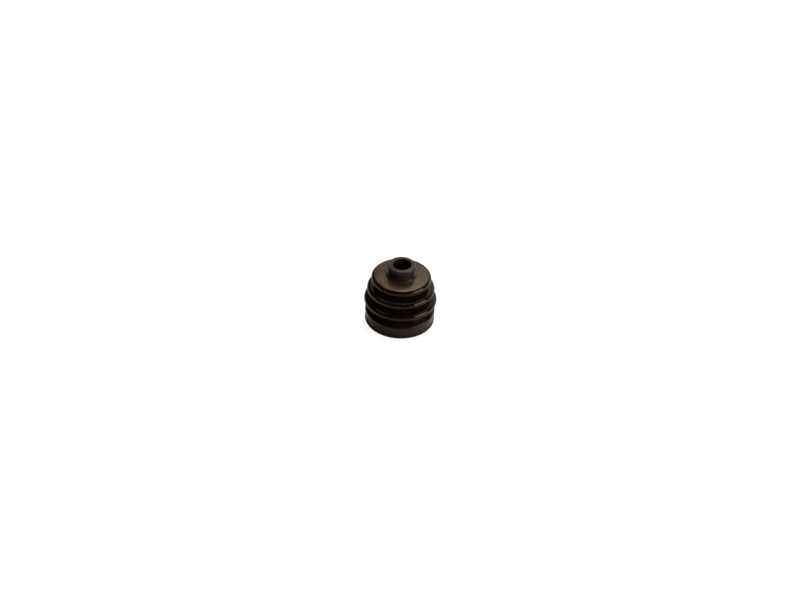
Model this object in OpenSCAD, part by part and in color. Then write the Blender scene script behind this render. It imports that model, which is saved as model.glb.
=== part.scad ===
/* [Large end] */
// Diameter of the bore at its sealing ribs, where the joint's housing seats
large_bore = 80; // [76:0.5:84]
// Wall of the collar under the clamp band
large_wall = 3.1; // [2.4:0.1:4]
// Height of the lip below the clamp band
large_lip = 3; // [2:0.1:4]
// Rounding of that lip's lower edge
large_lip_round = 1.2; // [0.6:0.1:1.4]
// Width of the seat for the clamp band
large_seat = 9.6; // [7:0.2:10]
// Depth of that seat
large_seat_depth = 0.8; // [0.5:0.1:1.4]
// Height of the ring above the seat, up to where the collar turns in to the bellows
large_ring = 5; // [3:0.1:7]
// Drop from there to the inner end of the bore, where the wall turns inwards and stops the housing
large_stop = 2.5; // [2:0.1:4]

/* [Bellows] */
// Wall of the bellows
wall = 2.2; // [1.6:0.1:2.6]
// How far each crest stands out past the collar, from the large end up
crest_overhangs = [1.7, -1.6, -6.5]; // [-12:0.1:4]
// Rise from the collar to the first crest, then from each crest to the next
crest_rises = [13.7, 16, 15.4]; // [13:0.1:20]
// Rounding of the crests
crest_round = 4.4; // [3.2:0.1:4.8]
// Depth of each root below the crest above it
root_depth = 9; // [6:0.2:10]
// Rounding of the roots
root_round = 2; // [1:0.1:2.2]

/* [Small end] */
// Diameter of the bore at its sealing ribs, where the shaft seats
small_bore = 22.8; // [20:0.2:26]
// Wall of the neck under the clamp band
small_wall = 4.8; // [3:0.1:5.5]
// Rise of the shoulder from the top of the last crest to the foot of the neck
shoulder_rise = 0.6; // [0:0.1:3]
// Height of the ring at the foot of the neck
foot_height = 2.6; // [1.6:0.1:4]
// How far the ring stands out past the seat
foot_step = 2.2; // [1:0.1:3]
// Width of the seat for the clamp band
small_seat = 7.2; // [5:0.2:9]
// Height of the lip above the seat
lip_height = 5.2; // [4:0.1:7]
// How far the lip stands out past the seat
lip_step = 0.9; // [0.5:0.1:1.5]
// Rounding of the lip's top edge
lip_round = 1.6; // [1:0.1:3]
// Width of the round-bottomed groove in the neck's top face
face_groove = 1.1; // [0.6:0.1:1.4]

/* [Sealing ribs] */
// Number of ribs in the large bore
large_ribs = 3; // [2:1:4]
// Number of ribs in the small bore
small_ribs = 2; // [2:1:3]
// Width of a rib's flat crest
rib_width = 1.4; // [1:0.1:1.6]
// Depth of the grooves between the ribs
rib_depth = 0.5; // [0.3:0.1:0.8]

/* [Hidden] */
$fn = 180;

// Rounding of the collar's top edge
collar_round = 1.6;
// Rounding of small moulded edges
edge = 0.6;
// Lead-in chamfer at the mouth of the large bore
large_lead_in = 0.8;
// Lead-in chamfer at the mouth of the small bore
small_lead_in = 0.7;
// Rounding in the corner at the inner end of the large bore
corner = 1;
// Fillet where the neck rises from the shoulder
neck_fillet = 1;
// Rounding inside, where the shoulder turns up into the neck
throat_round = 3;
// A straight stretch runs this far inside the circle it meets, so that the two cross cleanly
bite = 0.02;
// Length by which a cut runs past a face
past = 1;

large_bore_r = large_bore / 2;
large_seat_r = large_bore_r + large_wall;
collar_r = large_seat_r + large_seat_depth;
large_height = large_lip + large_seat + large_ring;
large_depth = large_height - large_stop;

// Radius and height of each crest's middle ring, from the large end up
crests = len(crest_overhangs);
function sum(list, count) = count == 0 ? 0 : list[count - 1] + sum(list, count - 1);
crest_r = [for (overhang = crest_overhangs) collar_r + overhang];
crest_z = [for (i = [0:crests - 1]) large_height + sum(crest_rises, i + 1)];

// Each root lies midway between the crest above it and what is below it
root_r = [for (radius = crest_r) radius - root_depth];
root_z = [for (i = [0:crests - 1]) ((i == 0 ? large_height : crest_z[i - 1]) + crest_z[i]) / 2];

small_bore_r = small_bore / 2;
small_seat_r = small_bore_r + small_wall;
foot_r = small_seat_r + foot_step;
lip_r = small_seat_r + lip_step;
face_groove_r = (small_bore_r + small_lead_in + lip_r - lip_round) / 2;
shoulder_z = crest_z[crests - 1] + crest_round + shoulder_rise;
shoulder_slope = shoulder_rise / (crest_r[crests - 1] - crest_round - foot_r);
foot_z = shoulder_z + foot_height;
lip_z = foot_z + small_seat;
height = lip_z + lip_height;
echo(height = height, largest_diameter = 2 * max(crest_r));

// A pin is [radius from the axis, height, rounding]. A string pulled round the pins in turn, from
// below, has those of positive rounding on the side of the axis, and those of negative outside.
function heading(a, b) =
    let (run = b[0] - a[0], rise = b[1] - a[1])
    atan2(rise, run) - asin((b[2] - a[2]) / norm([run, rise]));
function touch(pin, angle) = [pin[0] + pin[2] * sin(angle), pin[1] - pin[2] * cos(angle)];
function touches(pins, i) = [
    if (i > 0) touch(pins[i], heading(pins[i - 1], pins[i])),
    if (i < len(pins) - 1 && pins[i][2] != 0 || i == 0) touch(pins[i], heading(pins[i], pins[i + 1]))
];
function string(pins) = [for (i = [0:len(pins) - 1]) each touches(pins, i)];
function thinned(pins) = [for (pin = pins) [pin[0], pin[1], pin[2] - sign(pin[2]) * bite]];

// Half section, filled out from the axis, inside a string round pins
module filled(pins) {
    difference() {
        union() {
            polygon(string(thinned(pins)));
            for (pin = pins)
                if (pin[2] > 0) translate([pin[0], pin[1]]) circle(r = pin[2]);
        }
        for (pin = pins)
            if (pin[2] < 0) translate([pin[0], pin[1]]) circle(r = -pin[2]);
    }
}

// Half section of a disc between two heights, with its outer edges rounded
module band(radius, from, to, low_edge = 0, high_edge = 0) {
    translate([0, from]) square([radius - low_edge, to - from - high_edge]);
    translate([0, from + low_edge]) square([radius - high_edge, to - from - low_edge]);
    translate([0, from + low_edge]) square([radius, to - from - low_edge - high_edge]);
    if (low_edge > 0) translate([radius - low_edge, from + low_edge]) circle(r = low_edge);
    if (high_edge > 0) translate([radius - high_edge, to - high_edge]) circle(r = high_edge);
}

// Fillet in the corner outside a round wall, above a face
module fillet(radius, face_z, size) {
    difference() {
        translate([0, face_z - size]) square([radius + size, 2 * size]);
        translate([radius + size, face_z + size]) circle(r = size);
    }
}

// Pins of the bellows at a depth below its outer surface
function bellows(depth) = [
    for (i = [0:crests - 1])
        each [
            [root_r[i] + root_round, root_z[i], -root_round - depth],
            [crest_r[i] - crest_round, crest_z[i], crest_round - depth]
        ]
];

module large_collar() {
    band(collar_r, 0, large_lip, large_lip_round, edge / 2);
    band(large_seat_r, large_lip_round, large_height - collar_round);
    band(collar_r, large_lip + large_seat, large_height - collar_round, edge / 2);
}

module bellows_outside() {
    filled(concat(
        [
            [0, large_height - 2 * collar_round, 0],
            [collar_r - collar_round, large_height - collar_round, collar_round]
        ],
        bellows(0),
        [
            [foot_r, shoulder_z, 0],
            [0, shoulder_z, 0]
        ]
    ));
}

module neck_outside() {
    band(foot_r, shoulder_z - wall, foot_z, 0, edge);
    fillet(foot_r, shoulder_z - neck_fillet * shoulder_slope - bite, neck_fillet);
    band(small_seat_r, foot_z - edge, lip_z + edge);
    band(lip_r, lip_z, height, edge / 2, lip_round);
}

// Grooves that leave flat-topped ribs along a bore
module rib_grooves(radius, from, to, ribs) {
    pitch = (to - from - rib_width) / (ribs - 1);
    for (i = [0:ribs - 2])
        band(radius + rib_depth, from + i * pitch + rib_width, from + (i + 1) * pitch);
}

// Lead-in chamfer at the mouth of a bore that opens upwards, or downwards for a side of -1
module mouth(radius, face_z, side, size) {
    polygon([
        [0, face_z + side * past],
        [radius + size + past, face_z + side * past],
        [radius, face_z - side * size],
        [0, face_z - side * size]
    ]);
}

module large_bore_space() {
    mouth(large_bore_r, 0, -1, large_lead_in);
    band(large_bore_r, -past, large_depth - corner);
    rib_grooves(large_bore_r, large_lead_in, large_depth - corner, large_ribs);
}

module bellows_inside() {
    ceiling_z = shoulder_z - wall;
    filled(concat(
        [
            [0, large_depth - 2 * corner, 0],
            [large_bore_r - corner, large_depth - corner, corner]
        ],
        bellows(wall),
        [
            [small_bore_r + throat_round - bite, ceiling_z + throat_round, -throat_round],
            [small_bore_r - past, height, 0],
            [0, height, 0]
        ]
    ));
}

module small_bore_space() {
    band(small_bore_r, shoulder_z, height + past);
    mouth(small_bore_r, height, 1, small_lead_in);
    rib_grooves(small_bore_r, foot_z, lip_z, small_ribs);
}

module boot() {
    color("#2b2521") rotate_extrude() difference() {
        union() {
            large_collar();
            bellows_outside();
            neck_outside();
        }
        large_bore_space();
        bellows_inside();
        small_bore_space();
        translate([face_groove_r, height]) circle(d = face_groove);
    }
}

boot();
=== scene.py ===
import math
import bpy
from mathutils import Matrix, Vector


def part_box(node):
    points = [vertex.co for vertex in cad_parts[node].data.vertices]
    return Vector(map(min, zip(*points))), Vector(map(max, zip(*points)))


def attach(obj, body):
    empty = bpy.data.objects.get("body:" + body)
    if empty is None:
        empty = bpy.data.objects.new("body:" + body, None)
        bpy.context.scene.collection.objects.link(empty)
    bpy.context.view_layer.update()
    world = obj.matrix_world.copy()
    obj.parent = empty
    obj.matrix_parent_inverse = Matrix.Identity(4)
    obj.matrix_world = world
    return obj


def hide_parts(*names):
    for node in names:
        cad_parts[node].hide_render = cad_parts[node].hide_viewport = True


bl_info = {
    "name": "Joint Boot",
    "version": (1, 0, 0),
    "blender": (4, 5, 0),
    "location": "3D View > Sidebar > Boot",
    "description": "Moulded rubber boot for a drive shaft's joint, on the frame of its solid model",
    "category": "Object",
}

from collections import namedtuple

import bpy
from mathutils import Matrix, Vector

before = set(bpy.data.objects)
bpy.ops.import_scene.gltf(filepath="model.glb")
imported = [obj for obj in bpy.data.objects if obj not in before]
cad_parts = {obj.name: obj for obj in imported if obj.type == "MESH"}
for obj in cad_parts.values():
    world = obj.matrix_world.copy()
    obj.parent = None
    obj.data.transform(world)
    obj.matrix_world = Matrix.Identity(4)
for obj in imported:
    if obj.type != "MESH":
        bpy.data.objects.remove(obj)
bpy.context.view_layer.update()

MM = 0.001
PIECE = "boot_moulding"

# Decimals of a metre that the panel shows
LENGTH_DIGITS = 5
# How far the section may miss the solid model's height and width
FIT_TOLERANCE = 0.1 * MM


# Sizes, finishes and studio settings that a user would change


def number(name, description, default, **kind):
    """A plain number, or one of the kind that the caller names."""
    return bpy.props.FloatProperty(name=name, description=description, default=default, **kind)


def length(name, description, millimetres):
    """A length in metres, with its default given in millimetres."""
    kind = {"precision": LENGTH_DIGITS, "subtype": "DISTANCE", "unit": "LENGTH"}
    return number(name, description, millimetres * MM, **kind)


def crest_lengths(name, description, millimetres):
    """A length for each crest, from the large end up."""
    default = [value * MM for value in millimetres]
    return bpy.props.FloatVectorProperty(
        name=name, description=description, default=default, precision=LENGTH_DIGITS, unit="LENGTH"
    )


def colour(name, description, default):
    """A linear colour without alpha."""
    return bpy.props.FloatVectorProperty(
        name=name, description=description, default=default, size=3, min=0, max=1, subtype="COLOR"
    )


def angle(name, description, degrees):
    """An angle, given in degrees."""
    return number(name, description, math.radians(degrees), subtype="ANGLE", unit="ROTATION")


def pixels(name, description, default):
    """A distance in the photograph's pixels."""
    return number(name, description, default, subtype="PIXEL")


def share(name, description, default):
    """A plain number from 0 to 1."""
    return number(name, description, default, min=0, max=1, subtype="FACTOR")


def radiance(name, description, default):
    """A light's strength as it looks, where 1 is white."""
    return number(name, description, default, min=0)


def how_many(name, description, default, least, most):
    """How many of something there are round the axis, or along a bore."""
    return bpy.props.IntProperty(name=name, description=description, default=default, min=least, max=most)


class BootSizes(bpy.types.PropertyGroup):
    """Sizes of the moulding, as in the solid model."""

    large_bore: length("Large bore", "Diameter over the sealing ribs at the large end", 80)
    large_wall: length("Large wall", "Wall of the collar under its clamp band", 3.1)
    large_lip: length("Large lip", "Height of the lip below the clamp band", 3)
    large_lip_round: length("Lip rounding", "Rounding of that lip's lower edge", 1.2)
    large_seat: length("Large seat", "Width of the seat for the large clamp band", 9.6)
    large_seat_depth: length("Seat depth", "Depth of that seat", 0.8)
    large_ring: length("Collar ring", "Height of the ring above the seat", 5)
    large_stop: length("Stop", "Drop from the collar's top to the inner end of the bore", 2.5)
    collar_round: length("Collar rounding", "Rounding of the collar's top edge", 1.6)
    wall: length("Wall", "Wall of the bellows", 2.2)
    crest_overhangs: crest_lengths("Overhangs", "Reach of each crest past the collar", [1.7, -1.6, -6.5])
    crest_rises: crest_lengths("Rises", "Rise to each crest from what is below it", [13.7, 16, 15.4])
    crest_round: length("Crest rounding", "Rounding of the crests", 4.4)
    root_depth: length("Root depth", "Depth of each root below the crest above it", 9)
    root_round: length("Root rounding", "Rounding of the roots", 2)
    small_bore: length("Small bore", "Diameter over the sealing ribs at the small end", 22.8)
    small_wall: length("Small wall", "Wall of the neck under its clamp band", 4.8)
    shoulder_rise: length("Shoulder rise", "Rise from the last crest's top to the foot of the neck", 0.6)
    foot_height: length("Foot height", "Height of the ring at the foot of the neck", 2.6)
    foot_step: length("Foot step", "How far that ring stands out past the seat", 2.2)
    small_seat: length("Small seat", "Width of the seat for the small clamp band", 7.2)
    lip_height: length("Lip height", "Height of the neck's lip above the seat", 5.2)
    lip_step: length("Lip step", "How far the neck's lip stands out past the seat", 0.9)
    lip_round: length("Neck's lip rounding", "Rounding of the lip's top edge", 1.6)
    face_groove: length("Face groove", "Width of the round-bottomed groove in the neck's top face", 1.1)
    rib_width: length("Rib width", "Width of a sealing rib's flat crest", 1.4)
    rib_depth: length("Rib depth", "Depth of the grooves between the sealing ribs", 0.5)
    large_ribs: how_many("Large ribs", "Sealing ribs in the large bore", 3, 2, 4)
    small_ribs: how_many("Small ribs", "Sealing ribs in the small bore", 2, 2, 3)
    large_lead_in: length("Large lead-in", "Chamfer at the mouth of the large bore", 0.8)
    small_lead_in: length("Small lead-in", "Chamfer at the mouth of the small bore", 0.7)
    edge: length("Edge", "Rounding of small moulded edges", 0.6)
    corner: length("Bore corner", "Rounding at the inner end of the large bore", 1)
    neck_fillet: length("Neck fillet", "Fillet where the neck rises from the shoulder", 1)
    throat_round: length("Throat rounding", "Rounding where the shoulder turns up into the neck", 3)
    crease: length("Crease", "Rounding of an edge that the solid model leaves sharp", 0.18)


class BootMould(bpy.types.PropertyGroup):
    """What the mould leaves on the rubber, and how finely the mesh follows the section."""

    segments: how_many("Segments", "Sections round the axis", 288, 48, 512)
    chord_error: length("Chord error", "How far a chord of the section may lie off its arc", 0.016)
    longest_step: length("Longest step", "Longest side of a face along the section", 2.6)
    parting_angle: angle("Parting angle", "Turn of the mould's parting plane about the axis", 28)
    crowding: share("Crowding", "How far the sections draw together at the parting line", 0.8)
    flash_height: length("Flash height", "How far the parting line's flash stands out", 0.06)
    flash_width: length("Flash width", "Width of the parting line's flash", 0.4)
    blend: length("Blend", "Length over which the sinks and the flash fade out", 3)
    unevenness: length("Unevenness", "How far the cooled rubber sinks from its true shape", 0.16)
    ripple_size: length("Ripple size", "Size of the shallow sinks in the bellows", 14)
    seed: number("Seed", "Chooses another set of sinks", 3.7)


class BootFinish(bpy.types.PropertyGroup):
    """Colours and gloss of the rubber."""

    # The bellows' rubber is darker than the cuffs' rubber: painted shade that deepens the folds.
    rubber: colour("Rubber", "Brown-black of the moulding", (0.0065, 0.0036, 0.0026))
    cuff: colour("Cuff rubber", "Greyer black where the mould is polished", (0.0215, 0.0157, 0.0120))
    sheen: colour("Gloss tint", "Warm tint of the rubber's gloss", (1.0, 0.70, 0.37))
    inner: colour("Inner rubber", "Dull grey-black inside", (0.0180, 0.0155, 0.0130))
    # Bloom colour, part dust and part painted light: a paler brown on faces that look up, full above the top
    # crest.
    bloom: colour("Bloom", "Brown bloom and dust on faces that look up", (0.102, 0.041, 0.014))
    talc: colour("Talc", "Pale powder left inside by the moulder", (0.16, 0.15, 0.14))
    # The share of that bloom and painted top light where it is thickest.
    bloom_and_top_light_amount: share("Bloom amount", "Share of the bloom where it is thickest", 0.4)
    gloss: share("Gloss", "Strength of the rubber's reflection, where 0.5 is that of plain plastic", 0.25)
    roughness: share("Roughness", "Roughness of the bellows", 0.2)
    cuff_roughness: share("Cuff roughness", "Roughness of the collar and the neck", 0.25)
    inner_roughness: share("Inner roughness", "Roughness inside", 0.52)


class BootStudio(bpy.types.PropertyGroup):
    """Camera, lights and floor."""

    lens: number("Lens", "Focal length in millimetres", 54, unit="CAMERA")
    distance: length("Distance", "From the camera to the middle of the boot's axis", 1500)
    elevation: angle("Elevation", "Angle of the view above the horizon", 37.1)
    roll: angle("Roll", "Lean of the picture", 2.72)
    aim_right: pixels("Aim right", "From the picture's middle to the boot's axis", 0.67)
    aim_up: pixels("Aim up", "From the picture's middle up to the boot's mid height", 8.86)
    lamp_distance: length("Lamp distance", "From the boot to the lamps", 4000)
    key: radiance("Key", "Radiance of the tall lamp behind the boot", 7.5)
    key_azimuth: angle("Key azimuth", "Turn of that lamp from straight behind to the right", 6.9)
    key_elevation: angle("Key elevation", "Height of that lamp above the horizon", 62.9)
    key_width: length("Key width", "Width of that lamp", 1030)
    key_height: length("Key height", "Height of that lamp", 3170)
    side: radiance("Side", "Radiance of the low lamp on the right", 9)
    side_azimuth: angle("Side azimuth", "Turn of that lamp from straight behind to the right", 113.7)
    side_elevation: angle("Side elevation", "Height of that lamp above the horizon", 18.5)
    side_width: length("Side width", "Width of that lamp", 2740)
    side_height: length("Side height", "Height of that lamp", 1640)
    backdrop: radiance("Backdrop", "Radiance of the backdrop", 0.85)
    backdrop_azimuth: angle("Backdrop azimuth", "Turn of its middle from straight behind to the right", 20)
    backdrop_half: angle("Backdrop half width", "Angle from the backdrop's middle to its sides", 38)
    backdrop_top: angle("Backdrop top", "Elevation at which the backdrop ends", 65)
    hood: radiance("Hood", "Radiance of the hood above the backdrop", 2.2)
    hood_foot: angle("Hood foot", "Elevation at which the hood starts", 51.5)
    room: radiance("Room", "Radiance of the rest of the room", 0.02)
    floor: colour("Floor", "Pale floor", (0.75, 0.75, 0.75))
    floor_glow: radiance("Floor glow", "White that lifts the floor", 1.45)
    floor_lift: share("Floor lift", "Share of that white in what the camera sees", 0.6)
    mirrored_lift: share("Mirrored lift", "Share of that white in what a reflection shows", 0.02)


# Half section of the moulding. A pin is (radius, height, rounding), and a string is pulled round the
# pins with the rubber on its left: an outer corner's pin has positive rounding, an inner corner's
# negative. The string runs up the outside, over the neck, down the inside and back along the base.
# A zone picks the rubber's finish, and a bulge runs from -1 in a root to 1 on a crest.


Pin = namedtuple("Pin", "radius height rounding zone bulge", defaults=("cuff", 0.0))
Point = namedtuple("Point", "radius height zone bulge")

# Fewest chords in an arc, and how far one may lie off a tiny arc, as a share of its radius
FEWEST_CHORDS = 2
COARSEST_CHORD = 0.5


def heading(a, b):
    """Direction of the string from pin a to pin b."""
    run, rise = b.radius - a.radius, b.height - a.height
    lean = (b.rounding - a.rounding) / math.hypot(run, rise)
    return math.atan2(rise, run) - math.asin(max(-1.0, min(1.0, lean)))


def touch(pin, course):
    """Where a string with that heading touches a pin."""
    return (pin.radius + pin.rounding * math.sin(course), pin.height - pin.rounding * math.cos(course))


def arc_points(pin, start, end, chord_error):
    """Points of the string's arc round a pin."""
    if not pin.rounding:
        return [Point(pin.radius, pin.height, pin.zone, pin.bulge)]
    turn = (end - start + math.pi) % math.tau - math.pi
    step = 2 * math.acos(1 - min(chord_error / abs(pin.rounding), COARSEST_CHORD))
    count = max(FEWEST_CHORDS, math.ceil(abs(turn) / step))
    courses = [start + turn * k / count for k in range(count + 1)]
    return [Point(*touch(pin, course), pin.zone, pin.bulge) for course in courses]


def stretch_points(a, b, longest):
    """Points inside the straight stretch between two points, with the bulge blended along it."""
    span = math.hypot(b.radius - a.radius, b.height - a.height)
    count = math.ceil(span / longest)

    def between(part):
        radius = a.radius + (b.radius - a.radius) * part
        height = a.height + (b.height - a.height) * part
        return Point(radius, height, a.zone, a.bulge + (b.bulge - a.bulge) * part)

    return [between(k / count) for k in range(1, count)]


def string(pins, chord_error, longest):
    """The closed string round all the pins, as points in order."""
    headings = [heading(pin, pins[(i + 1) % len(pins)]) for i, pin in enumerate(pins)]
    arcs = [arc_points(pin, headings[i - 1], headings[i], chord_error) for i, pin in enumerate(pins)]
    outline = []
    for arc, following in zip(arcs, arcs[1:] + arcs[:1]):
        outline += arc + stretch_points(arc[-1], following[0], longest)
    return outline


class Section:
    """Sizes that follow from the driving ones, and the pins of each part of the section."""

    def __init__(self, size):
        self.size = size
        self.large_bore_r = size.large_bore / 2
        self.large_seat_r = self.large_bore_r + size.large_wall
        self.collar_r = self.large_seat_r + size.large_seat_depth
        self.large_height = size.large_lip + size.large_seat + size.large_ring
        self.large_depth = self.large_height - size.large_stop
        self.crest_r = [self.collar_r + overhang for overhang in size.crest_overhangs]
        self.crest_z = [self.large_height + sum(size.crest_rises[: i + 1]) for i in range(len(self.crest_r))]
        below = [self.large_height] + self.crest_z[:-1]
        self.root_r = [radius - size.root_depth for radius in self.crest_r]
        self.root_z = [(low + high) / 2 for low, high in zip(below, self.crest_z)]
        self.small_bore_r = size.small_bore / 2
        self.small_seat_r = self.small_bore_r + size.small_wall
        self.foot_r = self.small_seat_r + size.foot_step
        self.lip_r = self.small_seat_r + size.lip_step
        self.shoulder_z = self.crest_z[-1] + size.crest_round + size.shoulder_rise
        self.foot_z = self.shoulder_z + size.foot_height
        self.lip_z = self.foot_z + size.small_seat
        self.height = self.lip_z + size.lip_height

    def collar_outside(self):
        """The lip, the band seat and the ring above it, up to where the bellows start."""
        size, crease = self.size, self.size.crease
        lip_top, ring_foot = size.large_lip, size.large_lip + size.large_seat
        top_round = size.collar_round
        return [
            Pin(self.collar_r - size.large_lip_round, size.large_lip_round, size.large_lip_round),
            Pin(self.collar_r - size.edge / 2, lip_top - size.edge / 2, size.edge / 2),
            Pin(self.large_seat_r + crease, lip_top + crease, -crease),
            Pin(self.large_seat_r + crease, ring_foot - crease, -crease),
            Pin(self.collar_r - size.edge / 2, ring_foot + size.edge / 2, size.edge / 2),
            Pin(self.collar_r - top_round, self.large_height - top_round, top_round, "bellows"),
        ]

    def bellows(self, depth, zone):
        """Each root and the crest above it, at a depth below the outer surface, from the large end up."""
        size = self.size
        pins = []
        for i in range(len(self.crest_r)):
            root = (self.root_r[i] + size.root_round, self.root_z[i], -size.root_round - depth)
            crest = (self.crest_r[i] - size.crest_round, self.crest_z[i], size.crest_round - depth)
            pins += [Pin(*root, zone, -1.0), Pin(*crest, zone, 1.0)]
        return pins

    def neck_outside(self):
        """The foot ring, the band seat and the lip."""
        size, crease = self.size, self.size.crease
        slope = size.shoulder_rise / (self.crest_r[-1] - size.crest_round - self.foot_r)
        fillet_z = self.shoulder_z + size.neck_fillet * (1 - slope)
        return [
            Pin(self.foot_r + size.neck_fillet, fillet_z, -size.neck_fillet),
            Pin(self.foot_r - size.edge, self.foot_z - size.edge, size.edge),
            Pin(self.small_seat_r + crease, self.foot_z + crease, -crease),
            Pin(self.small_seat_r + crease, self.lip_z - crease, -crease),
            Pin(self.lip_r - size.edge / 2, self.lip_z + size.edge / 2, size.edge / 2),
            Pin(self.lip_r - size.lip_round, self.height - size.lip_round, size.lip_round),
        ]

    def neck_face(self):
        """The groove in the top face, then the mouth of the small bore."""
        size, crease = self.size, self.size.crease
        middle = (self.small_bore_r + size.small_lead_in + self.lip_r - size.lip_round) / 2
        half = size.face_groove / 2
        return [
            Pin(middle + half + crease, self.height - crease, crease),
            Pin(middle, self.height - crease / 2, -half + crease / 2),
            Pin(middle - half - crease, self.height - crease, crease),
            Pin(self.small_bore_r + size.small_lead_in + crease / 2, self.height - crease, crease),
            Pin(self.small_bore_r + crease, self.height - size.small_lead_in - crease / 2, crease),
        ]

    def grooves(self, radius, low, high, ribs):
        """The grooves between a bore's sealing ribs, from the top down."""
        size, crease = self.size, self.size.crease
        pitch = (high - low - size.rib_width) / (ribs - 1)
        pins = []
        for i in reversed(range(ribs - 1)):
            foot = low + i * pitch + size.rib_width
            head = low + (i + 1) * pitch
            deep = radius + size.rib_depth
            pins += [
                Pin(radius + crease, head + crease, crease, "inside"),
                Pin(deep - crease, head - crease, -crease, "inside"),
                Pin(deep - crease, foot + crease, -crease, "inside"),
                Pin(radius + crease, foot - crease, crease, "inside"),
            ]
        return pins

    def bellows_inside(self):
        """The throat, the bellows' inner surface from the top down, and the stop above the large bore."""
        size = self.size
        ceiling = self.shoulder_z - size.wall
        throat = (self.small_bore_r + size.throat_round, ceiling + size.throat_round, size.throat_round)
        upwards = self.bellows(size.wall, "inside")
        downwards = [pin._replace(rounding=-pin.rounding) for pin in reversed(upwards)]
        stop = (self.large_bore_r - size.corner, self.large_depth - size.corner, -size.corner)
        return [Pin(*throat, "inside"), *downwards, Pin(*stop, "inside")]

    def large_mouth(self):
        """The lead-in chamfer of the large bore."""
        size, crease = self.size, self.size.crease
        return [
            Pin(self.large_bore_r + crease, size.large_lead_in + crease / 2, crease, "inside"),
            Pin(self.large_bore_r + size.large_lead_in + crease / 2, crease, crease, "cuff"),
        ]

    def pins(self):
        """All the pins, in the order in which the string meets them."""
        size = self.size
        bore_top = self.large_depth - size.corner
        return (
            self.collar_outside()
            + self.bellows(0, "bellows")
            + self.neck_outside()
            + self.neck_face()
            + self.grooves(self.small_bore_r, self.foot_z, self.lip_z, size.small_ribs)
            + self.bellows_inside()
            + self.grooves(self.large_bore_r, size.large_lead_in, bore_top, size.large_ribs)
            + self.large_mouth()
        )


def section_mesh(section, mould):
    """The half section as a closed loop of edges, standing in the XZ plane, with its zones as attributes."""
    outline = string(section.pins(), mould.chord_error, mould.longest_step)
    mesh = bpy.data.meshes.new("boot_section")
    count = len(outline)
    mesh.from_pydata(
        [(point.radius, 0, point.height) for point in outline],
        [(i, (i + 1) % count) for i in range(count)],
        [],
    )
    marks = {
        "cuff": [float(point.zone == "cuff") for point in outline],
        "inside": [float(point.zone == "inside") for point in outline],
        "bulge": [point.bulge if point.zone == "bellows" else 0.0 for point in outline],
    }
    for name, values in marks.items():
        mesh.attributes.new(name, "FLOAT", "POINT").data.foreach_set("value", values)
    return mesh


# Node building


# The socket that a value of each type needs. A geometry has no value.
SOCKETS = {
    type(None): "NodeSocketGeometry",
    int: "NodeSocketInt",
    float: "NodeSocketFloat",
    bpy.types.Material: "NodeSocketMaterial",
}
# Width of a column of nodes in the editor, and height of a row
COLUMN, ROW = 240, 190
# A Mix node's two colours and its result, among the sockets of its other kinds
FIRST_COLOUR, SECOND_COLOUR, MIXED_COLOUR = "in6", "in7", 2


def add(tree, kind, label=None, settings=(), **inputs):
    """A new node with its settings and its inputs, where an input is a value or another node's socket."""
    node = tree.nodes.new(kind)
    if label:
        node.label = label
    for name, value in dict(settings).items():
        setattr(node, name, value)
    for name, value in inputs.items():
        plug(tree, node, name, value)
    return node


def plug(tree, node, name, value):
    """Feeds one input of a node, found by its number as in1 or by its name with _ for a space."""
    if name.startswith("in") and name[2:].isdigit():
        socket = node.inputs[int(name[2:])]
    else:
        socket = node.inputs[name.replace("_", " ")]
    if isinstance(value, bpy.types.NodeSocket):
        tree.links.new(value, socket)
    else:
        socket.default_value = value


def calc(tree, operation, *values, label=None):
    """A Math node's result."""
    inputs = {f"in{i}": value for i, value in enumerate(values)}
    return add(tree, "ShaderNodeMath", label, {"operation": operation}, **inputs).outputs[0]


def product(tree, first, *others):
    """The product of two or more values."""
    for other in others:
        first = calc(tree, "MULTIPLY", first, other)
    return first


def smooth_step(tree, value, low, high, label=None):
    """0 below low, 1 above high, and a smooth rise between them."""
    settings = {"interpolation_type": "SMOOTHSTEP"}
    node = add(tree, "ShaderNodeMapRange", label, settings, Value=value, From_Min=low, From_Max=high)
    return node.outputs["Result"]


def vector_calc(tree, operation, *vectors, label=None, result="Vector"):
    """A Vector Math node's result, which is a vector unless the caller names the other output."""
    inputs = {f"in{i}": vector for i, vector in enumerate(vectors)}
    return add(tree, "ShaderNodeVectorMath", label, {"operation": operation}, **inputs).outputs[result]


def scaled(tree, vector, amount):
    """A vector times a number."""
    node = add(tree, "ShaderNodeVectorMath", settings={"operation": "SCALE"}, in0=vector, Scale=amount)
    return node.outputs["Vector"]


def levelled(tree, vector):
    """The part of a vector that lies across the axis."""
    return vector_calc(tree, "MULTIPLY", vector, (1, 1, 0), label="Across the axis")


def height_of(tree, vector):
    """The part of a vector along the axis."""
    return add(tree, "ShaderNodeSeparateXYZ", Vector=vector).outputs["Z"]


def new_tree(name, inputs, outputs, kind="ShaderNodeTree"):
    """A node group and what its input node gives. A value sets its socket's kind and its default."""
    tree = bpy.data.node_groups.new(name, kind)
    for way, values in (("INPUT", inputs), ("OUTPUT", outputs)):
        for socket_name, value in values.items():
            socket = tree.interface.new_socket(socket_name, in_out=way, socket_type=SOCKETS[type(value)])
            if value is not None:
                socket.default_value = value
    return tree, tree.nodes.new("NodeGroupInput").outputs


def finished(tree, **results):
    """A node group with its outputs fed and its nodes laid out."""
    add(tree, "NodeGroupOutput", **results)
    lay_out(tree)
    return tree


def lay_out(tree):
    """Places the nodes in columns, each to the right of what feeds it."""
    depth = {}

    def depth_of(node):
        if node not in depth:
            feeds = [link.from_node for socket in node.inputs for link in socket.links]
            depth[node] = 1 + max((depth_of(feed) for feed in feeds), default=-1)
        return depth[node]

    filled = {}
    for node in tree.nodes:
        column = depth_of(node)
        node.location = (COLUMN * column, -ROW * filled.get(column, 0))
        filled[column] = filled.get(column, 0) + 1


# The lathe: Geometry Nodes that sweep the section round the axis


# Share of the flash's half width that is its flat crest
FLASH_CREST = 0.25


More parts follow.
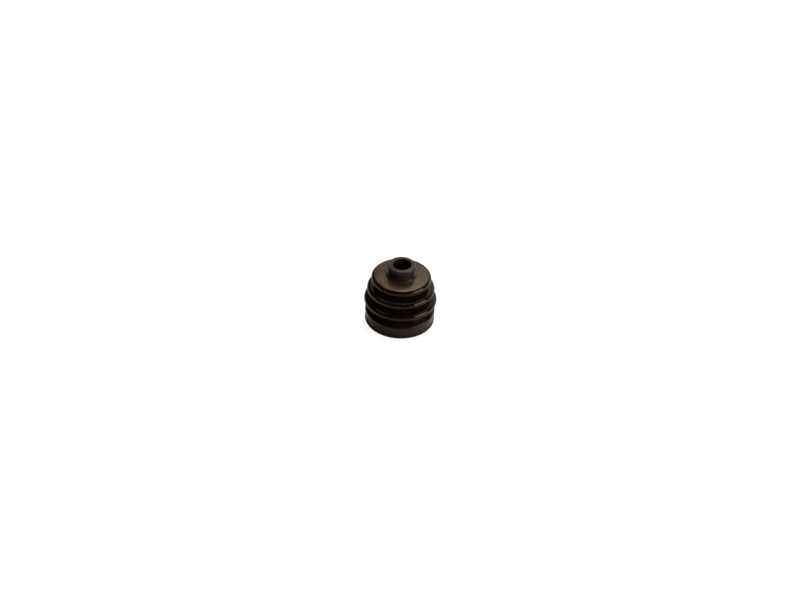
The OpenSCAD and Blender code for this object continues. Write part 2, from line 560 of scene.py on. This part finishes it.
def crowded_circle(tree, given):
    """A circle whose points draw together where the parting plane crosses it."""
    segments, radius = given["Segments"], given["Spindle Radius"]
    circle = add(tree, "GeometryNodeCurvePrimitiveCircle", "Spindle", Resolution=segments, Radius=radius)
    index = add(tree, "GeometryNodeInputIndex").outputs[0]
    even = product(tree, calc(tree, "DIVIDE", index, segments), math.tau)
    doubled = product(tree, calc(tree, "SUBTRACT", even, given["Parting Angle"]), 2.0)
    shift = product(tree, calc(tree, "SINE", doubled), product(tree, given["Crowding"], 0.5))
    turn = calc(tree, "SUBTRACT", even, shift, label="Crowded turn")
    x = product(tree, calc(tree, "COSINE", turn), radius)
    y = product(tree, calc(tree, "SINE", turn), radius)
    place = add(tree, "ShaderNodeCombineXYZ", X=x, Y=y).outputs[0]
    moved = add(tree, "GeometryNodeSetPosition", Geometry=circle.outputs["Curve"], Position=place)
    curve = moved.outputs["Geometry"]
    upright = add(tree, "GeometryNodeSetCurveNormal", settings={"mode": "Z_UP"}, Curve=curve)
    return upright.outputs["Curve"]


def laid_section(tree, given):
    """The section as a profile: its radius, less the spindle's, along X and its height along -Y."""
    curve = add(tree, "GeometryNodeMeshToCurve", Mesh=given["Section"]).outputs["Curve"]
    inwards = add(tree, "ShaderNodeCombineXYZ", X=product(tree, given["Spindle Radius"], -1.0)).outputs[0]
    placed = add(tree, "GeometryNodeTransform", "Lay the section flat", Geometry=curve, Translation=inwards)
    plug(tree, placed, "Rotation", (math.pi / 2, 0, 0))
    return placed.outputs["Geometry"]


def between_heights(tree, height, foot, head, blend):
    """1 between two heights, with a smooth fade to 0 inside each."""
    above_foot = smooth_step(tree, height, foot, calc(tree, "ADD", foot, blend), "Above the foot")
    below_head = smooth_step(tree, height, head, calc(tree, "SUBTRACT", head, blend), "Below the head")
    return product(tree, above_foot, below_head)


def sink_offset(tree, given):
    """Shallow sinks in the bellows, towards the axis, and none in what other parts fit on."""
    place = add(tree, "GeometryNodeInputPosition").outputs[0]
    settings = {"noise_dimensions": "4D"}
    sinks = add(tree, "ShaderNodeTexNoise", "Sinks", settings, Vector=place, W=given["Seed"])
    plug(tree, sinks, "Scale", calc(tree, "DIVIDE", 1.0, given["Ripple Size"]))
    plug(tree, sinks, "Detail", 1.0)
    height = height_of(tree, place)
    on_bellows = between_heights(tree, height, given["Collar Top"], given["Shoulder Height"], given["Blend"])
    outward = vector_calc(tree, "NORMALIZE", levelled(tree, place), label="Outward")
    return scaled(tree, outward, product(tree, on_bellows, sinks.outputs[0], given["Unevenness"], -1.0))


def flash_offset(tree, given):
    """A low round ridge on the outside, where the two halves of the mould met."""
    place = add(tree, "GeometryNodeInputPosition").outputs[0]
    x, y, z = add(tree, "ShaderNodeSeparateXYZ", Vector=place).outputs
    in_y = product(tree, y, calc(tree, "COSINE", given["Parting Angle"]))
    in_x = product(tree, x, calc(tree, "SINE", given["Parting Angle"]))
    across = calc(tree, "SUBTRACT", in_y, in_x, label="Distance from the parting plane")
    half_width = product(tree, given["Flash Width"], 0.5)
    near = calc(tree, "DIVIDE", calc(tree, "ABSOLUTE", across), half_width)
    ridge = smooth_step(tree, near, 1.0, FLASH_CREST, "Ridge")
    outer = calc(tree, "SUBTRACT", 1.0, point_mark(tree, "inside"))
    off_ends = between_heights(tree, z, given["Lip Rounding"], given["Neck Top"], given["Blend"])
    normal = add(tree, "GeometryNodeInputNormal").outputs[0]
    return scaled(tree, normal, product(tree, ridge, outer, off_ends, given["Flash Height"]))


def point_mark(tree, name):
    """A number that the section's points carry."""
    settings = {"data_type": "FLOAT"}
    return add(tree, "GeometryNodeInputNamedAttribute", settings=settings, Name=name).outputs[0]


def zone_material(tree, geometry, zone, material):
    """Sets a material on the faces of one zone."""
    settings = {"data_type": "FLOAT", "operation": "GREATER_THAN"}
    chosen = add(tree, "FunctionNodeCompare", settings=settings, in0=point_mark(tree, zone), in1=0.5)
    selection = chosen.outputs[0]
    painted = add(tree, "GeometryNodeSetMaterial", Geometry=geometry, Selection=selection, Material=material)
    return painted.outputs[0]


def lathe_tree(values):
    """Sweeps a closed section round the axis, adds the mould's marks and sets the materials."""
    tree, given = new_tree("Boot Lathe", {"Section": None, **values}, {"Boot": None}, "GeometryNodeTree")
    tree.is_modifier = True
    swept = add(tree, "GeometryNodeCurveToMesh", "Sweep")
    plug(tree, swept, "Curve", crowded_circle(tree, given))
    plug(tree, swept, "Profile Curve", laid_section(tree, given))
    moulding = add(tree, "GeometryNodeFlipFaces", "Faces outwards", in0=swept.outputs[0]).outputs[0]
    for name, offset in (("Sinks", sink_offset), ("Flash", flash_offset)):
        moved = add(tree, "GeometryNodeSetPosition", name, Geometry=moulding, Offset=offset(tree, given))
        moulding = moved.outputs[0]
    smooth = add(tree, "GeometryNodeSetShadeSmooth", Geometry=moulding)
    real = add(tree, "GeometryNodeRealizeInstances", Geometry=smooth.outputs[0]).outputs[0]
    painted = add(tree, "GeometryNodeSetMaterial", Geometry=real, Material=given["Bellows Rubber"]).outputs[0]
    painted = zone_material(tree, painted, "cuff", given["Cuff Rubber"])
    return finished(tree, Boot=zone_material(tree, painted, "inside", given["Inner Rubber"]))


def set_inputs(modifier, values):
    """Sets a Geometry Nodes modifier's inputs by their sockets' identifiers."""
    items = modifier.node_group.interface.items_tree
    sockets = {item.name: item.identifier for item in items if item.in_out == "INPUT"}
    for name, value in values.items():
        modifier[sockets[name]] = value


# Finishes


# How far each effect moves the roughness
GRAIN_ROUGHENS = 0.1
BLOOM_AND_TOP_LIGHT_ROUGHENS = 0.5
RUBBING_ROUGHENS = -0.16
SCUFFS_ROUGHEN = 0.2

# How far a scuff pales the rubber towards its bloom, and how deep it is cut
SCUFF_PALENESS = 0.5
SCUFF_DEPTH = 0.02 * MM

# Bloom and painted top light on the cuffs, and talc inside, as shares of those on the bellows
CUFF_BLOOM_AND_TOP_LIGHT = 0.6
INNER_TALC = 0.35

RUBBER_IOR = 1.5


def object_place(tree):
    """Where a point lies on the piece."""
    return add(tree, "ShaderNodeTexCoord").outputs["Object"]


def noise(tree, label, place, scale, detail, **inputs):
    """A noise texture's value, with its scale in features a metre."""
    inputs = {"Vector": place, "Scale": scale, "Detail": detail, **inputs}
    return add(tree, "ShaderNodeTexNoise", label, **inputs).outputs[0]


def grain_group():
    """Fine pebble of the mould's blasted steel: a height, and a roughness that varies with it."""
    inputs = {"Grain Size": 0.35 * MM, "Pebble Height": -0.5, "Wave Height": 4.0}
    outputs = {"Height": 0.0, "Roughness Shift": 0.0}
    tree, given = new_tree("Mould Grain", inputs, outputs)
    fine_scale, wave_scale, smoothness = 0.6, 0.07, 0.6
    place = object_place(tree)
    scale = calc(tree, "DIVIDE", 1.0, given["Grain Size"])
    pebble = add(tree, "ShaderNodeTexVoronoi", "Pebble", {"feature": "SMOOTH_F1"}, Vector=place, Scale=scale)
    plug(tree, pebble, "Smoothness", smoothness)
    fine = noise(tree, "Fine", place, product(tree, scale, fine_scale), 3.0)
    waves = noise(tree, "Waves", place, product(tree, scale, wave_scale), 2.0)
    even_fine = calc(tree, "SUBTRACT", fine, 0.5)
    even_waves = calc(tree, "SUBTRACT", waves, 0.5)
    pebbled = calc(tree, "MULTIPLY_ADD", pebble.outputs["Distance"], given["Pebble Height"], fine)
    height = calc(tree, "MULTIPLY_ADD", even_waves, given["Wave Height"], pebbled)
    return finished(tree, Height=height, Roughness_Shift=calc(tree, "ADD", even_fine, even_waves))


def bloom_and_top_light_group():
    """Bloom and dust, part of it painted light: soft patches on open faces that look up, lit from above, and
    a little in the shaded folds below them.
    """
    inputs = {
        "Amount": 0.2,
        "Patch Size": 12 * MM,
        "Everywhere": 0.15,
        "Sheltered Share": 0.1,
        "Open Height": 0.0,
        "Blend": 3 * MM,
    }
    tree, given = new_tree("Rubber Bloom", inputs, {"Mask": 0.0})
    specks_a_patch = 26.0
    # The normal's height where dust and painted top light begin, and where they are full
    steepest, level = 0.9, 0.995
    least_patch, patch_range = 0.5, 0.5
    least_speck, speck_range = 0.6, 0.5
    place = object_place(tree)
    scale = calc(tree, "DIVIDE", 1.0, given["Patch Size"])
    patches = noise(tree, "Patches", place, scale, 4.0, Distortion=0.4)
    specks = noise(tree, "Specks", place, product(tree, scale, specks_a_patch), 3.0)
    normal = add(tree, "ShaderNodeNewGeometry").outputs["Normal"]
    up = smooth_step(tree, height_of(tree, normal), steepest, level, "Looks up")
    # Full above the open height; below it only the sheltered share: less dust, and painted shade in the folds
    foot = calc(tree, "SUBTRACT", given["Open Height"], given["Blend"])
    open_share = smooth_step(tree, height_of(tree, place), foot, given["Open Height"], "Open to dust")
    reached = calc(tree, "MAXIMUM", open_share, given["Sheltered Share"])
    settled = calc(tree, "MAXIMUM", product(tree, up, reached), given["Everywhere"])
    patchy = calc(tree, "MULTIPLY_ADD", smooth_step(tree, patches, 0.25, 0.75), patch_range, least_patch)
    speckled = calc(tree, "MULTIPLY_ADD", smooth_step(tree, specks, 0.35, 0.7), speck_range, least_speck)
    return finished(tree, Mask=product(tree, settled, patchy, speckled, given["Amount"]))


def handling_group():
    """Rubbed crests and short scuffs that run round the boot."""
    inputs = {"Rub": 0.5, "Scuffs": 0.5}
    outputs = {"Rubbed": 0.0, "Scuffed": 0.0}
    tree, given = new_tree("Handling Marks", inputs, outputs)
    wear_scale, scuffed_area_scale = 55.0, 120.0
    round_scale, up_scale = 90, 3200
    crest_foot, crest_top = 0.55, 1.0
    place = object_place(tree)
    bulge = add(tree, "ShaderNodeAttribute", "Bulge", {"attribute_name": "bulge"}).outputs["Fac"]
    crest = smooth_step(tree, bulge, crest_foot, crest_top, "Crest")
    worn = smooth_step(tree, noise(tree, "Wear", place, wear_scale, 3.0), 0.35, 0.65)
    longer = (round_scale, round_scale, up_scale)
    stretched = add(tree, "ShaderNodeMapping", "Long round the boot", Vector=place, Scale=longer).outputs[0]
    lines = smooth_step(tree, noise(tree, "Scuffs", stretched, 1.0, 2.0), 0.66, 0.72)
    here = smooth_step(tree, noise(tree, "Where scuffs lie", place, scuffed_area_scale, 2.0), 0.54, 0.62)
    scuffed = product(tree, lines, here, given["Scuffs"])
    return finished(tree, Rubbed=product(tree, crest, worn, given["Rub"]), Scuffed=scuffed)


def turning_group():
    """Faint rings that the mould's turned steel leaves, a height along the radius and the axis together."""
    tree, given = new_tree("Turning Marks", {"Pitch": 0.45 * MM}, {"Height": 0.0})
    place = object_place(tree)
    radius = vector_calc(tree, "LENGTH", levelled(tree, place), result="Value")
    along = calc(tree, "DIVIDE", calc(tree, "ADD", radius, height_of(tree, place)), given["Pitch"])
    rings = add(tree, "ShaderNodeTexNoise", "Rings", {"noise_dimensions": "1D"}, W=along, Scale=1.0)
    plug(tree, rings, "Detail", 1.0)
    return finished(tree, Height=rings.outputs[0])


# One rubber: its colours and gloss, and how strong each effect is on it
Finish = namedtuple(
    "Finish",
    "name colour gloss sheen dust roughness bloom everywhere open_height"
    " grain_size grain_depth turning_depth rub scuffs",
)


def empty_material(name):
    """A new material and its node tree, with nothing in it."""
    material = bpy.data.materials.new(name)
    material.use_nodes = True
    material.node_tree.nodes.clear()
    return material, material.node_tree


def rubber_material(finish, groups):
    """Satin rubber: its colour under a bloom that is partly painted light on faces that look up, with grain,
    turning marks, rubbed crests and scuffs.
    """
    material, tree = empty_material(finish.name)

    def group(name, **inputs):
        return add(tree, "ShaderNodeGroup", name, {"node_tree": groups[name]}, **inputs).outputs

    grain = group("Mould Grain", Grain_Size=finish.grain_size)
    bloom_and_top_light_inputs = {"Amount": finish.bloom, "Everywhere": finish.everywhere, "Open_Height": finish.open_height}
    bloom = group("Rubber Bloom", **bloom_and_top_light_inputs)["Mask"]
    marks = group("Handling Marks", Rub=finish.rub, Scuffs=finish.scuffs)
    rubbed, scuffed = marks["Rubbed"], marks["Scuffed"]
    turning = group("Turning Marks")

    # Towards the bloom's brown under its mask: part dust, part painted light on faces that look up
    dusted_and_top_lit = mixed_colour(tree, bloom, (*finish.colour, 1), (*finish.dust, 1))
    half_dusted = tuple((base + dust) / 2 for base, dust in zip(finish.colour, finish.dust))
    coloured = mixed_colour(tree, product(tree, scuffed, SCUFF_PALENESS), dusted_and_top_lit, (*half_dusted, 1))

    roughness = calc(tree, "MULTIPLY_ADD", grain["Roughness Shift"], GRAIN_ROUGHENS, finish.roughness)
    effects = ((bloom, BLOOM_AND_TOP_LIGHT_ROUGHENS), (rubbed, RUBBING_ROUGHENS), (scuffed, SCUFFS_ROUGHEN))
    for mask, change in effects:
        roughness = calc(tree, "MULTIPLY_ADD", mask, change, roughness)

    rings = add(tree, "ShaderNodeBump", "Turning", Height=turning["Height"], Distance=finish.turning_depth)
    pebbled = add(tree, "ShaderNodeBump", "Grain", Height=grain["Height"], Distance=finish.grain_depth)
    plug(tree, pebbled, "Normal", rings.outputs[0])
    cut = add(tree, "ShaderNodeBump", "Scuffs", {"invert": True}, Height=scuffed, Distance=SCUFF_DEPTH)
    plug(tree, cut, "Normal", pebbled.outputs[0])

    rubber = add(tree, "ShaderNodeBsdfPrincipled", "Rubber", Base_Color=coloured, Roughness=roughness)
    plug(tree, rubber, "IOR", RUBBER_IOR)
    plug(tree, rubber, "Specular IOR Level", finish.gloss)
    plug(tree, rubber, "Specular Tint", (*finish.sheen, 1))
    plug(tree, rubber, "Normal", cut.outputs[0])
    add(tree, "ShaderNodeOutputMaterial", Surface=rubber.outputs[0])
    lay_out(tree)
    return material


def mixed_colour(tree, factor, first, second):
    """The first colour, turned into the second by a factor."""
    colours = {FIRST_COLOUR: first, SECOND_COLOUR: second}
    node = add(tree, "ShaderNodeMix", settings={"data_type": "RGBA"}, in0=factor, **colours)
    return node.outputs[MIXED_COLOUR]


def rubber_materials(finish, section):
    """The three finishes that one rubber takes from its mould, except the bellows' darker colour, which is
    painted shade for the folds.
    """
    groups = {
        "Mould Grain": grain_group(),
        "Rubber Bloom": bloom_and_top_light_group(),
        "Handling Marks": handling_group(),
        "Turning Marks": turning_group(),
    }
    # Darker rubber as painted shade for the folds, and the bloom as painted light on faces that look up, full
    # above the top crest
    bellows = Finish(
        "bellows_rubber",
        colour=tuple(finish.rubber),
        gloss=finish.gloss,
        sheen=tuple(finish.sheen),
        dust=tuple(finish.bloom),
        roughness=finish.roughness,
        bloom=finish.bloom_and_top_light_amount,
        everywhere=0.015,
        open_height=section.crest_z[-1] + section.size.crest_round,
        grain_size=0.34 * MM,
        grain_depth=0.008 * MM,
        turning_depth=0.002 * MM,
        rub=0.7,
        scuffs=0.5,
    )
    cuff = bellows._replace(
        name="cuff_rubber",
        colour=tuple(finish.cuff),
        roughness=finish.cuff_roughness,
        bloom=CUFF_BLOOM_AND_TOP_LIGHT * finish.bloom_and_top_light_amount,
        grain_size=0.26 * MM,
        grain_depth=0.005 * MM,
        turning_depth=0.007 * MM,
        rub=0.0,
        scuffs=0.8,
    )
    inner = bellows._replace(
        name="inner_rubber",
        colour=tuple(finish.inner),
        dust=tuple(finish.talc),
        roughness=finish.inner_roughness,
        bloom=INNER_TALC * finish.bloom_and_top_light_amount,
        everywhere=0.5,
        turning_depth=0.005 * MM,
        rub=0.0,
        scuffs=0.0,
    )
    return {item.name: rubber_material(item, groups) for item in (bellows, cuff, inner)}


# The pieces


# Strength of the large faces in the corner normals, out of 100
NORMAL_WEIGHT = 80


class BOOT_OT_moulding(bpy.types.Operator):
    """Turn the boot from its section, mark it as its mould does and put it in place of its solid"""

    bl_idname = "boot.moulding"
    bl_label = "Build the moulding"
    bl_options = {"REGISTER", "UNDO"}

    def execute(self, context):
        scene = context.scene
        mould = scene.boot_mould
        section = Section(scene.boot_sizes)
        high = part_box("boot")[1]
        if max(abs(section.height - high.z), abs(max(section.crest_r) - high.x)) > FIT_TOLERANCE:
            raise RuntimeError("the section's height or widest crest isn't the solid model's")
        materials = rubber_materials(scene.boot_finish, section)
        blank = bpy.data.objects.new("boot_blank", section_mesh(section, mould))
        scene.collection.objects.link(blank)
        self.add_lathe(blank, section, mould, materials)
        blank.modifiers.new("Weighted normals", "WEIGHTED_NORMAL").weight = NORMAL_WEIGHT
        piece = self.plain_piece(context, blank)
        bpy.data.objects.remove(blank)
        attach(piece, "root")
        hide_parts("boot")
        return {"FINISHED"}

    def add_lathe(self, blank, section, mould, materials):
        """The lathe as a modifier, with its inputs set."""
        values = {
            "Segments": mould.segments,
            "Spindle Radius": section.small_bore_r,
            "Parting Angle": mould.parting_angle,
            "Crowding": mould.crowding,
            "Collar Top": section.large_height,
            "Shoulder Height": section.shoulder_z,
            "Neck Top": section.height,
            "Lip Rounding": section.size.large_lip_round,
            "Blend": mould.blend,
            "Flash Height": mould.flash_height,
            "Flash Width": mould.flash_width,
            "Unevenness": mould.unevenness,
            "Ripple Size": mould.ripple_size,
            "Seed": mould.seed,
            "Bellows Rubber": materials["bellows_rubber"],
            "Cuff Rubber": materials["cuff_rubber"],
            "Inner Rubber": materials["inner_rubber"],
        }
        lathe = blank.modifiers.new("Lathe", "NODES")
        lathe.node_group = lathe_tree(values)
        set_inputs(lathe, values)

    def plain_piece(self, context, blank):
        """The evaluated blank as a plain mesh."""
        depsgraph = context.evaluated_depsgraph_get()
        turned = blank.evaluated_get(depsgraph)
        mesh = bpy.data.meshes.new_from_object(turned, preserve_all_data_layers=True, depsgraph=depsgraph)
        mesh.name = PIECE
        piece = bpy.data.objects.new(PIECE, mesh)
        context.scene.collection.objects.link(piece)
        return piece


# The stage


LAMPS = ("key", "side")
FLOOR_REACH = 6.0
# Half the angle over which the backdrop's and the hood's edges fade
SKY_FADE = math.radians(8)
# The photograph's width in pixels, and the sensor's in millimetres
PHOTO_WIDTH = 800
SENSOR_WIDTH = 36
NEAREST_SEEN, FURTHEST_SEEN = 0.05, 50


class BOOT_OT_studio(bpy.types.Operator):
    """Set the floor, the backdrop, the lamps and the camera"""

    bl_idname = "boot.studio"
    bl_label = "Set the studio"
    bl_options = {"REGISTER", "UNDO"}

    def execute(self, context):
        studio = context.scene.boot_studio
        self.make_floor(context, studio)
        self.make_world(context, studio)
        for name in LAMPS:
            self.make_lamp(context, studio, name)
        self.make_camera(context, studio)
        context.scene.view_settings.view_transform = "Standard"
        return {"FINISHED"}

    def make_floor(self, context, studio):
        """A square of floor under the boot."""
        mesh = bpy.data.meshes.new("studio_floor")
        signs = [(-1, -1), (1, -1), (1, 1), (-1, 1)]
        mesh.from_pydata([(x * FLOOR_REACH, y * FLOOR_REACH, 0) for x, y in signs], [], [(0, 1, 2, 3)])
        mesh.materials.append(floor_material(studio))
        floor = bpy.data.objects.new("studio_floor", mesh)
        context.scene.collection.objects.link(floor)

    def make_world(self, context, studio):
        """A backdrop, and a pale hood over it, in a dim room. The camera sees white all round."""
        world = bpy.data.worlds.new("studio_world")
        context.scene.world = world
        world.use_nodes = True
        tree = world.node_tree
        tree.nodes.clear()
        sky_way = add(tree, "ShaderNodeTexCoord").outputs["Generated"]
        climb = height_of(tree, sky_way)
        backdrop = self.backdrop_light(tree, sky_way, climb, studio)
        lit = calc(tree, "MULTIPLY_ADD", self.hood_share(tree, sky_way, climb, studio), studio.hood, backdrop)
        camera_ray = add(tree, "ShaderNodeLightPath").outputs["Is Camera Ray"]
        seen = calc(tree, "MAXIMUM", calc(tree, "MAXIMUM", lit, studio.room), camera_ray)
        shine = add(tree, "ShaderNodeBackground", Color=(1, 1, 1, 1), Strength=seen)
        add(tree, "ShaderNodeOutputWorld", Surface=shine.outputs[0])
        lay_out(tree)

    def share_towards(self, tree, way, azimuth):
        """How far a direction points towards an azimuth, turned from straight behind to the right."""
        towards = (math.sin(azimuth), math.cos(azimuth), 0)
        return vector_calc(tree, "DOT_PRODUCT", way, towards, result="Value")

    def backdrop_light(self, tree, sky_way, climb, studio):
        """The backdrop's radiance: full inside its sides and its top, and none outside them."""
        half, top = studio.backdrop_half, studio.backdrop_top
        level_way = vector_calc(tree, "NORMALIZE", levelled(tree, sky_way))
        facing = self.share_towards(tree, level_way, studio.backdrop_azimuth)
        side, middle = math.cos(half + SKY_FADE), math.cos(half - SKY_FADE)
        towards_back = smooth_step(tree, facing, side, middle, "Towards the backdrop")
        above, below = math.sin(top + SKY_FADE), math.sin(top - SKY_FADE)
        below_top = smooth_step(tree, climb, above, below, "Below its top")
        return product(tree, towards_back, below_top, studio.backdrop)

    def hood_share(self, tree, sky_way, climb, studio):
        """1 on the hood, which reaches from its foot behind the boot up to the zenith."""
        foot, full = studio.hood_foot, studio.hood_foot + 2 * SKY_FADE
        above_foot = smooth_step(tree, climb, math.sin(foot), math.sin(full), "Above the hood's foot")
        behind = self.share_towards(tree, sky_way, 0)
        past_zenith = smooth_step(tree, behind, 0, math.sin(SKY_FADE), "Past the zenith")
        return product(tree, above_foot, past_zenith)

    def make_lamp(self, context, studio, name):
        """One of the soft lamps, which faces the boot and is as bright as its radiance says."""
        lamp = bpy.data.lights.new(f"{name}_lamp", "AREA")
        lamp.shape = "RECTANGLE"
        lamp.size = getattr(studio, f"{name}_width")
        lamp.size_y = getattr(studio, f"{name}_height")
        lamp.energy = getattr(studio, name) * math.pi * lamp.size * lamp.size_y
        holder = bpy.data.objects.new(f"{name}_lamp", lamp)
        context.scene.collection.objects.link(holder)
        azimuth = getattr(studio, f"{name}_azimuth")
        elevation = getattr(studio, f"{name}_elevation")
        level, climb = math.cos(elevation), math.sin(elevation)
        away = Vector((level * math.sin(azimuth), level * math.cos(azimuth), climb))
        holder.location = studio.lamp_distance * away
        holder.rotation_mode = "QUATERNION"
        holder.rotation_quaternion = away.to_track_quat("Z", "Y")
        holder.visible_camera = False

    def make_camera(self, context, studio):
        """The photograph's camera, turned so that the axis point at mid height falls where it does there."""
        focal_pixels = studio.lens / SENSOR_WIDTH * PHOTO_WIDTH
        camera = bpy.data.cameras.new("camera")
        camera.lens = studio.lens
        camera.sensor_width = SENSOR_WIDTH
        camera.clip_start, camera.clip_end = NEAREST_SEEN, FURTHEST_SEEN
        holder = bpy.data.objects.new("camera", camera)
        context.scene.collection.objects.link(holder)
        low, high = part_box("boot")
        target = Vector((0, 0, (low.z + high.z) / 2))
        back = Vector((0, -math.cos(studio.elevation), math.sin(studio.elevation)))
        look = back.to_track_quat("Z", "Y").to_matrix()
        roll = Matrix.Rotation(studio.roll, 3, "Z")
        down = Matrix.Rotation(-math.atan(studio.aim_up / focal_pixels), 3, "X")
        left = Matrix.Rotation(math.atan(studio.aim_right / focal_pixels), 3, "Y")
        turned = (look @ roll @ down @ left).to_4x4()
        holder.matrix_world = Matrix.Translation(target + back * studio.distance) @ turned
        context.scene.camera = holder


def floor_material(studio):
    """A pale floor, lifted to white for the camera where it is lit, and darker only in the shadow."""
    material, tree = empty_material("studio_floor")
    path = add(tree, "ShaderNodeLightPath").outputs
    mirrored = calc(tree, "MAXIMUM", path["Is Glossy Ray"], path["Is Transmission Ray"])
    mirrored_lift = product(tree, mirrored, studio.mirrored_lift)
    lift = calc(tree, "MULTIPLY_ADD", path["Is Camera Ray"], studio.floor_lift, mirrored_lift)
    matte = add(tree, "ShaderNodeBsdfDiffuse", Color=(*studio.floor, 1))
    glow = add(tree, "ShaderNodeEmission", Color=(1, 1, 1, 1), Strength=studio.floor_glow)
    both = add(tree, "ShaderNodeMixShader", in0=lift, in1=matte.outputs[0], in2=glow.outputs[0])
    add(tree, "ShaderNodeOutputMaterial", Surface=both.outputs[0])
    lay_out(tree)
    return material


class BOOT_PT_panel(bpy.types.Panel):
    """Lists the boot's operators and settings"""

    bl_label = "Joint Boot"
    bl_idname = "BOOT_PT_panel"
    bl_space_type = "VIEW_3D"
    bl_region_type = "UI"
    bl_category = "Boot"

    def draw(self, context):
        layout = self.layout
        layout.use_property_split = True
        for name, settings in SETTINGS.items():
            layout.label(text=settings.__doc__)
            group = getattr(context.scene, name)
            for key in settings.__annotations__:
                layout.prop(group, key)
        for operator in OPERATORS:
            layout.operator(operator.bl_idname)


SETTINGS = {
    "boot_sizes": BootSizes,
    "boot_mould": BootMould,
    "boot_finish": BootFinish,
    "boot_studio": BootStudio,
}

OPERATORS = [BOOT_OT_moulding, BOOT_OT_studio]

CLASSES = [*SETTINGS.values(), *OPERATORS, BOOT_PT_panel]


def register():
    """Registers the classes and hangs the settings on the scene."""
    for item in CLASSES:
        bpy.utils.register_class(item)
    for name, settings in SETTINGS.items():
        setattr(bpy.types.Scene, name, bpy.props.PointerProperty(type=settings))


def unregister():
    """Takes the settings and the classes away again."""
    for name in SETTINGS:
        delattr(bpy.types.Scene, name)
    for item in reversed(CLASSES):
        bpy.utils.unregister_class(item)


def main():
    """Builds the piece and the stage, in order."""
    register()
    bpy.ops.boot.moulding()
    bpy.ops.boot.studio()


if __name__ == "__main__":
    main()
